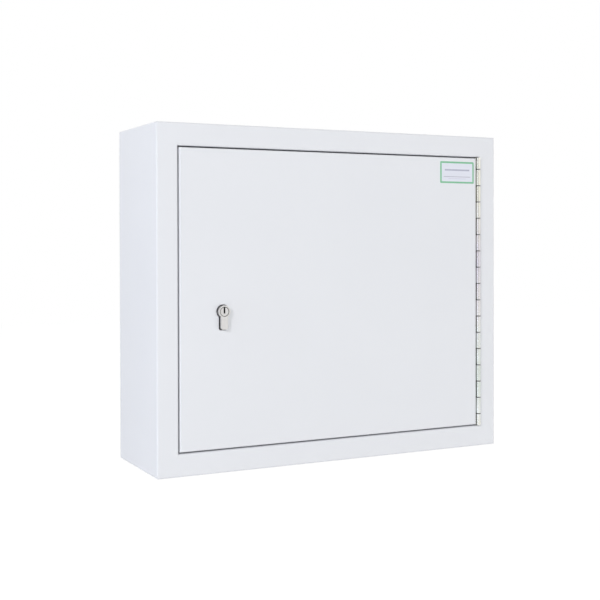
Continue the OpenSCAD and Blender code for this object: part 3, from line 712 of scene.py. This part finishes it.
@dataclass
class Studio:
    """Camera, white surround, pale floor and soft lamps."""

    camera_at: Point = (-0.7493, -1.5207, 0.0808)
    yaw: float = 26.80
    pitch: float = -0.55
    roll: float = -0.12
    sensor: float = 36.0
    lens: float = 64.86
    shift_left: float = 0.00042
    shift_down: float = 0.0838
    clip: tuple[float, float] = (0.05, 60.0)
    surround: float = 0.462
    sky: float = 0.02
    ground: float = 0.26
    room_x: float = 0.30
    room_core: float = 0.12
    room_half: float = 0.48
    room_dark: float = 0.06
    flag_x: float = -0.80
    flag_core: float = 0.04
    flag_half: float = 0.15
    flag_dark: float = 1.0
    dark_front: float = -0.4
    gleam_z: tuple[float, float] = (-0.18, 0.10)
    gleam_low: float = 0.72
    gleam_rise: float = 0.50
    floor_z: float = -1.15
    floor_half: float = 14.0
    floor_tone: Colour = (0.85, 0.85, 0.85)
    floor_glow: float = 0.62
    lamps: list[SoftBox] = field(default_factory=lambda: [
        SoftBox("key", (-1.60, -3.30, 0.95), (0.0, -0.16, 0.0), (1.3, 1.3), 18.0, False),
        SoftBox("left", (-3.70, -3.00, 1.80), (-0.1, -0.16, 0.0), (0.8, 0.8), 71.0, False),
        SoftBox("side", (-0.82, -0.25, 0.0), (-0.275, -0.13, 0.0), (0.16, 1.2), 1.15,
                tint=(0.72, 0.80, 1.0)),
        SoftBox("fill", (2.00, -2.80, 0.05), (0.0, -0.16, 0.0), (2.2, 2.2), 24.0, False),
    ])

    def build(self) -> None:
        """Makes the camera, the world, the floor and the lamps."""
        self._camera()
        self._world()
        self._floor()
        for lamp in self.lamps:
            lamp.build()
        log.info("studio: %d lamps", len(self.lamps))

    def _camera(self) -> None:
        """Stands the camera: forward, right and up come from yaw, pitch and roll."""
        a, e, r = (math.radians(v) for v in (self.yaw, self.pitch, self.roll))
        ahead = Vector((math.sin(a) * math.cos(e), math.cos(a) * math.cos(e), math.sin(e)))
        right = Vector((math.cos(a), -math.sin(a), 0.0))
        up = right.cross(ahead)
        rolled = right * math.cos(r) + up * math.sin(r)
        raised = up * math.cos(r) - right * math.sin(r)
        data = bpy.data.cameras.new("camera")
        data.sensor_width, data.lens = self.sensor, self.lens
        data.shift_x, data.shift_y = -self.shift_left, -self.shift_down
        data.clip_start, data.clip_end = self.clip
        camera = bpy.data.objects.new("camera", data)
        turn = Matrix((rolled, raised, -ahead)).transposed().to_4x4()
        camera.matrix_world = Matrix.Translation(self.camera_at) @ turn
        bpy.context.scene.collection.objects.link(camera)
        bpy.context.scene.camera = camera
        bpy.context.scene.view_settings.view_transform = "Standard"

    @staticmethod
    def _sight(w: Wiring) -> tuple[Socket, Socket]:
        """Tells which rays see a surface.

        Args:
            w: the wiring of the surface's tree.

        Returns:
            1 for a ray from the camera or through glass, and 1 for a mirrored ray.
        """
        path = w.node("ShaderNodeLightPath").outputs
        seen = w.maths("MAXIMUM", path["Is Camera Ray"], path["Is Transmission Ray"])
        return seen, path["Is Glossy Ray"]

    def _world(self) -> None:
        """Makes the surround.

        It is white to the camera. As light its level falls towards the ground. In
        reflections it is white, dimmer below, with a dark room and a dark flag in front.
        """
        world = bpy.data.worlds.new("surround")
        w = Wiring.blank(world)
        seen, glossy = self._sight(w)
        way = w.node("ShaderNodeTexCoord").outputs["Generated"]
        x, y, z = w.node("ShaderNodeSeparateXYZ", {0: way}).outputs
        low = w.maths("MAXIMUM", w.maths("MULTIPLY", z, -1.0), 0.0)
        high = w.maths("MAXIMUM", z, 0.0)
        level = w.maths("MULTIPLY_ADD", low, -self.ground, self.surround)
        level = w.maths("MULTIPLY_ADD", high, -self.sky, level)
        room = w.ramp(w.away(x, self.room_x), self.room_half, self.room_core)
        flag = w.ramp(w.away(x, self.flag_x), self.flag_half, self.flag_core)
        dark = w.maths("MAXIMUM", w.maths("MULTIPLY", room, self.room_dark),
                       w.maths("MULTIPLY", flag, self.flag_dark))
        front = w.ramp(y, 0.0, self.dark_front)
        mirrored = w.maths("SUBTRACT", 1.0, w.maths("MULTIPLY", dark, front))
        gleam = w.maths("MULTIPLY_ADD", w.ramp(z, *self.gleam_z), self.gleam_rise, self.gleam_low)
        mirrored = w.maths("MULTIPLY", mirrored, gleam)
        level = w.mix(seen, w.mix(glossy, level, mirrored), WHITE)
        light = w.node("ShaderNodeBackground", {"Color": WHITE, "Strength": level})
        w.node("ShaderNodeOutputWorld", {"Surface": light.outputs[0]})
        bpy.context.scene.world = world

    def _floor(self) -> None:
        """Makes a wide pale floor well below the cabinet, white where nothing shades it."""
        across = np.linspace(-self.floor_half, self.floor_half, 3)
        x, y = np.meshgrid(across, across, indexing="ij")
        floor = mesh_of_grids("floor", [np.stack([x, y, np.full_like(x, self.floor_z)], -1)])
        material = bpy.data.materials.new("pale_floor")
        w = Wiring.blank(material)
        base = w.node("ShaderNodeBsdfDiffuse", {"Color": self.floor_tone})
        seen = w.maths("MAXIMUM", *self._sight(w))
        strength = w.maths("MULTIPLY", seen, self.floor_glow)
        glow = w.node("ShaderNodeEmission", {"Color": WHITE, "Strength": strength})
        both = w.node("ShaderNodeAddShader", {0: base.outputs[0], 1: glow.outputs[0]})
        w.node("ShaderNodeOutputMaterial", {"Surface": both.outputs[0]})
        floor.data.materials.append(material)


# ---- Meshes ------------------------------------------------------------------------


def mesh_of_grids(name: str, grids: list[Grid], smooth: bool = True) -> bpy.types.Object:
    """Makes one object from grids of points; the faces join each point to its neighbours.

    Points of one grid that coincide, at a seam or a pole, are welded, and each closed
    surface's faces are turned outward.

    Args:
        name: the object's name.
        grids: arrays of rows x columns x 3.
        smooth: whether the faces are shaded smooth.

    Returns:
        The new object, linked to the scene.
    """
    work = bmesh.new()
    for grid in grids:
        rows, columns = grid.shape[:2]
        at = np.arange(rows * columns).reshape(rows, columns)
        faces = np.stack([at[:-1, :-1], at[1:, :-1], at[1:, 1:], at[:-1, 1:]], -1).reshape(-1, 4)
        sheet = bpy.data.meshes.new(name)
        sheet.from_pydata(grid.reshape(-1, 3).tolist(), [], faces.tolist())
        lone = bmesh.new()
        lone.from_mesh(sheet)
        bmesh.ops.remove_doubles(lone, verts=lone.verts, dist=WELD)
        bmesh.ops.dissolve_degenerate(lone, edges=lone.edges, dist=WELD)
        bmesh.ops.recalc_face_normals(lone, faces=lone.faces)
        lone.to_mesh(sheet)
        lone.free()
        work.from_mesh(sheet)
        bpy.data.meshes.remove(sheet)
    mesh = bpy.data.meshes.new(name)
    work.to_mesh(mesh)
    work.free()
    if smooth:
        mesh.shade_smooth()
    made = bpy.data.objects.new(name, mesh)
    bpy.context.scene.collection.objects.link(made)
    return made


@dataclass(frozen=True)
class Seat:
    """Where a turned shape stands: its origin, and the way that its height runs."""

    origin: Point
    out: Point

    def stand(self, local: Grid) -> Grid:
        """Turns points from (across, across, height) into the frame's axes.

        Args:
            local: an array of points, in metres.

        Returns:
            origin + u * side + v * (out x side) + h * out, for each point (u, v, h).
        """
        out = np.array(self.out, float)
        side = np.array((0.0, 0.0, 1.0)) if abs(out[2]) < 0.5 else np.array((1.0, 0.0, 0.0))
        basis = np.stack([side, np.cross(out, side), out])
        return np.array(self.origin) + local @ basis


def around(sides: int) -> Grid:
    """Returns the angles of a full turn in equal steps, with both ends."""
    return np.linspace(0.0, TURN, sides + 1)


def polar(r: Grid, a: Grid, h: Grid | float) -> Grid:
    """Returns the points (r cos a, r sin a, h)."""
    return np.stack([r * np.cos(a), r * np.sin(a), h + 0.0 * a], -1)


def screwed(h: Grid, a: Grid, pitch: float) -> Grid:
    """Returns a thread's depth between 0 and 1: 1 - |2 frac(h / pitch - a / 2 pi) - 1|."""
    return 1.0 - abs(2.0 * ((h / pitch - a / TURN) % 1.0) - 1.0)


def turned(profile: Grid, sides: int) -> Grid:
    """Turns a profile about the height axis.

    Args:
        profile: rows of (radius, height), from pole to pole.
        sides: how many steps go round.

    Returns:
        Points (r cos a, r sin a, h) on a grid of profile rows x angles; the first and the
        last column coincide.
    """
    return polar(profile[:, :1], around(sides), profile[:, 1:])


def rounded_path(corners: list[tuple[float, float]], bend: float, steps: int = 3) -> Grid:
    """Rounds the corners of a profile.

    Args:
        corners: the profile's corner points.
        bend: how far from each corner its rounding starts.
        steps: how many pieces each rounding has.

    Returns:
        The path: at each inner corner C between A and B, the quadratic curve
        (1-t)^2 P + 2t(1-t) C + t^2 Q, with P and Q at the bend from C towards A and B.
    """
    whole = np.array(corners, float)
    c = whole[1:-1]
    ways = [whole[:-2] - c, whole[2:] - c]
    far = [np.linalg.norm(way, axis=1, keepdims=True) for way in ways]
    p, q = (c + way / f * np.minimum(bend, 0.45 * f) for way, f in zip(ways, far))
    t = np.linspace(0.0, 1.0, steps + 1)[None, :, None]
    arcs = (1 - t) ** 2 * p[:, None] + 2 * t * (1 - t) * c[:, None] + t**2 * q[:, None]
    return np.concatenate([whole[:1], arcs.reshape(-1, 2), whole[-1:]])


@dataclass(frozen=True)
class Owner:
    """The body that a piece rides, and a paint slot's name."""

    body: str
    slot: str

    def take(self, made: bpy.types.Object, material: bpy.types.Material,
             *nodes: str) -> bpy.types.Object:
        """Args:
            made: the piece.
            material: its finish.
            nodes: the CAD nodes that it stands in for.

        Returns:
            The piece.
        """
        made.data.materials.append(material)
        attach(made, self.body)
        if nodes:
            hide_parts(*nodes)
        log.info("piece %s: %d faces, for %s", made.name, len(made.data.polygons), nodes or "itself")
        return made


# ---- Fasteners ---------------------------------------------------------------------


@dataclass(frozen=True)
class BlindRivet:
    """Domed blind rivet with the broken end of its mandrel in the head."""

    head_r: float = 3.0e-3
    head_h: float = 0.9e-3
    shank_r: float = 1.6e-3
    grip: float = 3.0e-3
    tail_r: float = 2.3e-3
    tail_h: float = 1.6e-3
    mandrel_r: float = 0.95e-3
    break_r: float = 0.8e-3
    soft: float = 0.16e-3
    sides: int = 40

    def grid(self, seat: Seat) -> Grid:
        """Makes one rivet whose head stands on the seat.

        Args:
            seat: the underside of the head, and the way out of it.

        Returns:
            The rivet's closed surface.
        """
        r, h, hole = self.head_r, self.head_h, self.mandrel_r
        low, end = -self.grip, -self.grip - self.tail_h
        path = rounded_path([
            (0.0, 0.42 * h), (0.62 * hole, 0.45 * h), (0.66 * hole, 0.20 * h),
            (0.95 * hole, 0.20 * h), (hole, 0.96 * h), (0.50 * r, h), (0.88 * r, 0.58 * h),
            (r, 0.16 * h), (0.985 * r, 0.0), (self.shank_r, 0.0), (self.shank_r, low),
            (self.tail_r, low - 0.1e-3), (0.96 * self.tail_r, 0.6 * end + 0.4 * low),
            (1.4e-3, end), (0.9e-3, end), (self.break_r, end + 0.4e-3), (0.0, end + 0.4e-3),
        ], self.soft)
        return seat.stand(turned(path, self.sides))


@dataclass(frozen=True)
class CrossScrew:
    """Countersunk screw with a cross recess and a threaded shank."""

    head_r: float
    sink: float
    shank_r: float
    reach: float
    pitch: float = 0.8e-3
    rim: float = 0.12e-3
    soft: float = 0.05e-3
    sides: int = 96
    rings: int = 40
    rows: int = 150

    def grid(self, seat: Seat) -> Grid:
        """Makes one screw whose head is flush with the seat.

        Args:
            seat: the middle of the head's face, and the way out of it.

        Returns:
            The screw's closed surface: a face z = -recess(u, v), its cone, and a shank
            whose radius is R less the thread's depth.
        """
        a = around(self.sides)
        rings = np.linspace(0.0, 1.0, self.rings)[:, None] * (self.head_r - self.rim)
        u, v = rings * np.cos(a), rings * np.sin(a)
        arm, half = 0.62 * self.head_r, 0.125 * self.head_r
        near, far = np.minimum(abs(u), abs(v)), np.maximum(abs(u), abs(v))
        cut = 0.5 - 0.5 * np.tanh((near - half) / self.soft)
        cut = cut * (0.5 - 0.5 * np.tanh((far - arm) / (2 * self.soft)))
        sunk = 0.62 * self.sink * (1.0 - 0.45 * far / arm)
        face = np.stack([u, v, -cut * sunk - 0.0 * a], -1)
        wall = rounded_path([
            (self.head_r - self.rim, 0.0), (self.head_r, -self.rim),
            (self.shank_r, -self.sink), (self.shank_r, -self.sink - 0.3e-3),
        ], 0.08e-3)
        shank = np.linspace(-self.sink - 0.35e-3, -self.reach, self.rows)[:, None]
        fade = np.clip((shank + self.reach) / (1.2 * self.pitch), 0.0, 1.0)
        r = self.shank_r - 0.22 * self.pitch * screwed(shank, a, self.pitch) * fade
        r = r - 0.35 * self.shank_r * (1.0 - fade)
        tip = polar(0.0 * a, a, -self.reach)[None]
        return seat.stand(np.concatenate([face, turned(wall, self.sides), polar(r, a, shank), tip]))


@dataclass(frozen=True)
class ThreadedStud:
    """Plain post whose far end is threaded."""

    radius: float = 2.5e-3
    length: float = 19.0e-3
    threaded: float = 8.0e-3
    pitch: float = 0.8e-3
    bevel: float = 0.5e-3
    sides: int = 64
    rows: int = 150

    def grid(self, seat: Seat) -> Grid:
        """Makes one stud that stands on the seat.

        Args:
            seat: the foot's middle, and the way that the stud points.

        Returns:
            Its closed surface: the radius is R less the thread's depth.
        """
        a = around(self.sides)
        plain = self.length - self.threaded
        h = np.concatenate([
            np.linspace(0.0, plain, 6),
            np.linspace(plain, self.length - self.bevel, self.rows)[1:],
        ])[:, None]
        on = np.clip((h - plain) / self.pitch, 0.0, 1.0)
        r = self.radius - 0.28 * self.pitch * screwed(h, a, self.pitch) * on
        foot = np.zeros((1, a.size, 3))
        end = np.array([(self.radius - self.bevel, self.length), (0.0, self.length)])
        return seat.stand(np.concatenate([foot, polar(r, a, h), turned(end, self.sides)]))


@dataclass(frozen=True)
class HexNut:
    """Six-sided nut with bevelled corners and a plain bore."""

    flats_r: float = 4.6e-3
    bore_r: float = 2.55e-3
    height: float = 4.0e-3
    bevel: float = 0.45e-3
    sides: int = 144

    def grid(self, seat: Seat) -> Grid:
        """Makes one nut that stands on the seat.

        Args:
            seat: the underside's middle, and the way that the nut rises.

        Returns:
            Its closed surface: at each height the radius is the least of the hexagon's
            R cos 30 / cos(a mod 60 - 30) and a cone's, which bevels the corners.
        """
        a = around(self.sides)
        inner = self.flats_r * math.cos(math.pi / 6)
        hexagon = inner / np.cos((a % (math.pi / 3)) - math.pi / 6)
        share = np.concatenate([np.linspace(0, 0.14, 8), np.linspace(0.86, 1.0, 8)])
        h = share[:, None] * self.height
        cone = 0.985 * inner + 1.8 * np.minimum(h, self.height - h)
        wall = polar(np.minimum(hexagon, cone), a, h)
        mouth = self.bore_r + self.bevel
        bore = turned(np.array([
            (mouth, self.height), (self.bore_r, self.height - self.bevel),
            (self.bore_r, self.bevel), (mouth, 0.0),
        ]), self.sides)
        return seat.stand(np.concatenate([wall, bore, wall[:1]]))


# ---- The cabinet -------------------------------------------------------------------


class FinishRack:
    """Every finish of the cabinet, built once."""

    def __init__(self, fx: Effects) -> None:
        """Builds the materials.

        Args:
            fx: the shared effects.
        """
        self.paint = PowderCoat().build(fx)
        self.body_paint = PowderCoat("body_powder_coat", relief=Relief(0.0018, 0.35, 0.00006)).build(fx)
        self.inside_paint = PowderCoat("inside_powder_coat", dust_amount=0.16).build(fx)
        self.zinc = PlatedSteel().build(fx)
        self.rolled_zinc = PlatedSteel(
            "rolled_zinc", (0.88, 0.89, 0.90), (0.76, 0.77, 0.78),
            roughness=0.11, patch=Layer(38.0, 0.55, 0.10), knuckles=Knuckles(),
        ).build(fx)
        self.pressed_zinc = PlatedSteel(
            "pressed_zinc", (0.60, 0.61, 0.62), (0.47, 0.48, 0.49), grain=Grain.ACROSS,
            roughness=0.33,
        ).build(fx)
        self.nickel = Metal(
            "satin_nickel", (0.62, 0.60, 0.57), (0.44, 0.42, 0.39), (0.80, 0.78, 0.74),
        ).build(fx)
        self.cylinder_nickel = Metal(
            "cylinder_nickel", (0.74, 0.73, 0.72), (0.57, 0.56, 0.55), (0.86, 0.85, 0.83),
            # painted shade in the key slot and the ring about the plug
            keyway_shade=KeyholeShade(),
        ).build(fx)
        self.plug_nickel = Metal(
            "plug_nickel", (0.74, 0.73, 0.72), (0.56, 0.55, 0.54), (0.86, 0.85, 0.83),
            # painted shade in the key slot and the ring about the plug
            roughness=0.22, grain=Grain.ACROSS, keyway_shade=KeyholeShade(),
        ).build(fx)
        self.brass = Metal(
            "milled_brass", (0.72, 0.56, 0.28), (0.52, 0.39, 0.18), (0.86, 0.74, 0.45),
            grain=Grain.ACROSS,
        ).build(fx)
        self.spring = Metal(
            "spring_steel", (0.30, 0.31, 0.34), (0.18, 0.19, 0.23), (0.55, 0.55, 0.56),
            roughness=0.30,
        ).build(fx)
        self.cam_steel = Metal(
            "sintered_steel", (0.42, 0.41, 0.40), (0.27, 0.27, 0.26), (0.62, 0.61, 0.59),
            roughness=0.42, grain=Grain.NONE, lines=Layer(700.0, 0.5, 0.12),
        ).build(fx)
        self.label = PrintedLabel().build(fx)


class SubAssembly:
    """A group of CAD nodes and pieces that belong together."""

    finishes: dict[str, str]

    def dress(self, nodes: dict[str, bpy.types.Object], rack: FinishRack) -> None:
        """Puts each node's finish into its material slots.

        Args:
            nodes: the CAD nodes' objects by name.
            rack: the built finishes.
        """
        for name, finish in self.finishes.items():
            node, material = nodes[name], getattr(rack, finish)
            if not node.material_slots:
                node.data.materials.append(material)
            for slot in node.material_slots:
                slot.material = material
            log.info("node %s: %s", name, material.name)

    def build(self, rack: FinishRack) -> None:
        """Makes the sub-assembly's own pieces; this one has none."""


@dataclass
class CabinetBody(SubAssembly):
    """Shell, back, door stops and the keeper plate with its screws."""

    strike_face: float = -0.2445
    lock_y: float = -0.140
    strike_z: tuple[float, float] = (-0.025, 0.027)
    finishes: dict[str, str] = field(default_factory=lambda: {
        "body_shell": "body_paint", "back_panel": "inside_paint", "door_stops": "paint",
        "strike_plate": "zinc", "strike_screws": "zinc",
    })

    def build(self, rack: FinishRack) -> None:
        """Makes the keeper plate's screws, whose heads face the opening.

        Args:
            rack: the built finishes.
        """
        screw = CrossScrew(3.5e-3, 1.5e-3, 2.0e-3, 6.0e-3)
        grids = [screw.grid(Seat((self.strike_face, self.lock_y, z), (1.0, 0.0, 0.0)))
                 for z in self.strike_z]
        Owner("cabinet", "zinc").take(
            mesh_of_grids("strike_cross_screws", grids), rack.zinc, "strike_screws")


@dataclass
class PianoHinge(SubAssembly):
    """Two rolled leaves on one pin, each held by a row of blind rivets."""

    pivot_x: float = 0.24415
    head_off: float = 1.65e-3
    rivet_y: float = -0.14642
    pitch: float = 0.050
    count: int = 7
    door_shift: float = 0.0125
    finishes: dict[str, str] = field(default_factory=lambda: {
        "hinge_leaf_frame": "rolled_zinc", "hinge_leaf_door": "rolled_zinc",
        "hinge_pin": "spring", "hinge_rivets_frame": "zinc", "hinge_rivets_door": "zinc",
    })

    def build(self, rack: FinishRack) -> None:
        """Makes both rows of rivets; the heads of each row face the other leaf."""
        self._row(rack, 1.0, 0.0, "cabinet", "hinge_rivets_frame")
        self._row(rack, -1.0, self.door_shift, "door", "hinge_rivets_door")

    def _row(self, rack: FinishRack, side: float, shift: float, body: str, node: str) -> None:
        """Makes one row.

        Args:
            rack: the built finishes.
            side: 1 for the frame's leaf and -1 for the door's.
            shift: how far the row is moved up.
            body: the body that it rides.
            node: the CAD node that it stands in for.
        """
        x = self.pivot_x + side * self.head_off
        heights = (np.arange(self.count) - (self.count - 1) / 2) * self.pitch + shift
        rivet = BlindRivet()
        grids = [rivet.grid(Seat((x, self.rivet_y, float(z)), (-side, 0.0, 0.0))) for z in heights]
        Owner(body, "zinc").take(mesh_of_grids(f"blind_rivets_{body}", grids), rack.zinc, node)


@dataclass
class DoorLeaf(SubAssembly):
    """Folded door with its stiffening channel and its label."""

    label_x: tuple[float, float] = (0.1748, 0.2362)
    label_z: tuple[float, float] = (0.1655, 0.1983)
    label_y: tuple[float, float] = (-0.1602, -0.1600)
    label_corner: float = 1.5e-3
    label_bevel: float = 0.06e-3
    label_sides: int = 128
    finishes: dict[str, str] = field(default_factory=lambda: {
        "door_panel": "paint", "door_stiffener": "paint", "label": "label",
    })

    def build(self, rack: FinishRack) -> None:
        """Makes the label: rings about its middle that follow its rounded outline.

        Args:
            rack: the built finishes.
        """
        middle = (sum(self.label_x) / 2, sum(self.label_z) / 2)
        half = np.array([np.ptp(self.label_x), np.ptp(self.label_z)]) / 2 - self.label_corner
        a = around(self.label_sides)
        circle = np.stack([np.cos(a), np.sin(a)], -1)
        corner = np.sign(np.where(abs(circle) < 1e-9, 1.0, circle))
        outline = corner * half + self.label_corner * circle
        front, back = self.label_y
        share, depth = np.array([
            (0.0, front), (0.5, front), (0.9, front), (1.0 - 2e-3, front),
            (1.0, front + self.label_bevel), (1.0, back), (0.5, back), (0.0, back),
        ]).T[:, :, None]
        grid = np.stack([middle[0] + share * outline[:, 0], depth + 0.0 * a,
                         middle[1] + share * outline[:, 1]], -1)
        Owner("door", "label").take(mesh_of_grids("printed_label", [grid]), rack.label, "label")


@dataclass
class DeadLock(SubAssembly):
    """Deadlock in its case, with the fixings that hold it to the door."""

    door_face: float = -0.2425
    forend_face: float = -0.2410
    lock_y: float = -0.140
    forend_z: tuple[float, float] = (-0.055, 0.033)
    cylinder_screw_z: float = -0.0367
    cylinder_screw_end: float = -0.1760
    stud_x: float = -0.14915
    stud_z: tuple[float, float] = (-0.0392, 0.0096)
    stud_y: tuple[float, float] = (-0.1585, -0.1395)
    nut_y: float = -0.1455
    finishes: dict[str, str] = field(default_factory=lambda: {
        "lock_case": "pressed_zinc", "lock_cover": "pressed_zinc", "lock_forend": "nickel",
        "forend_screws": "nickel", "lock_pillars": "zinc", "bolt_spring": "spring",
        "lock_studs": "zinc", "lock_spacers": "brass", "lock_nuts": "zinc", "deadbolt": "brass",
        "cylinder_screw": "zinc",
    })

    def build(self, rack: FinishRack) -> None:
        """Makes the screws in the door's edge, the studs and their nuts.

        Args:
            rack: the built finishes.
        """
        door, back, up = Owner("door", "zinc"), (-1.0, 0.0, 0.0), (0.0, 1.0, 0.0)
        small = CrossScrew(3.5e-3, 1.5e-3, 2.0e-3, 7.0e-3)
        grids = [small.grid(Seat((self.door_face, self.lock_y, z), back)) for z in self.forend_z]
        door.take(mesh_of_grids("forend_cross_screws", grids), rack.nickel, "forend_screws")
        long = CrossScrew(5.0e-3, 2.5e-3, 2.4e-3, self.cylinder_screw_end - self.forend_face)
        grid = long.grid(Seat((self.forend_face, self.lock_y, self.cylinder_screw_z), back))
        door.take(mesh_of_grids("cylinder_cross_screw", [grid]), rack.zinc, "cylinder_screw")
        stud = ThreadedStud(length=self.stud_y[1] - self.stud_y[0])
        studs = [stud.grid(Seat((self.stud_x, self.stud_y[0], z), up)) for z in self.stud_z]
        door.take(mesh_of_grids("threaded_studs", studs), rack.zinc, "lock_studs")
        nuts = [HexNut().grid(Seat((self.stud_x, self.nut_y, z), up)) for z in self.stud_z]
        door.take(mesh_of_grids("bevelled_nuts", nuts, smooth=False), rack.zinc, "lock_nuts")


@dataclass
class ProfileCylinder(SubAssembly):
    """Euro profile half cylinder with its plug, cam and circlip."""

    finishes: dict[str, str] = field(default_factory=lambda: {
        "cylinder_body": "cylinder_nickel", "cylinder_plug": "plug_nickel",
        "cylinder_cam": "cam_steel", "plug_circlip": "spring",
    })


@dataclass
class Shelving(SubAssembly):
    """Slotted strips, clips and two folded shelves."""

    finishes: dict[str, str] = field(default_factory=lambda: {
        "shelf_strips_left": "pressed_zinc", "shelf_strips_right": "pressed_zinc",
        "shelf_lower": "inside_paint", "shelf_upper": "inside_paint",
        "shelf_clips_lower": "zinc", "shelf_clips_upper": "zinc",
    })


def main() -> None:
    """Builds the studio, the finishes and the sub-assemblies in order."""
    logging.basicConfig(level=logging.INFO, format="%(message)s")
    Studio().build()
    rack = FinishRack(Effects())
    parts = [CabinetBody(), PianoHinge(), DoorLeaf(), DeadLock(), ProfileCylinder(), Shelving()]
    for part in parts:
        part.dress(frame["nodes"], rack)
        part.build(rack)


if __name__ == "__main__":
    main()
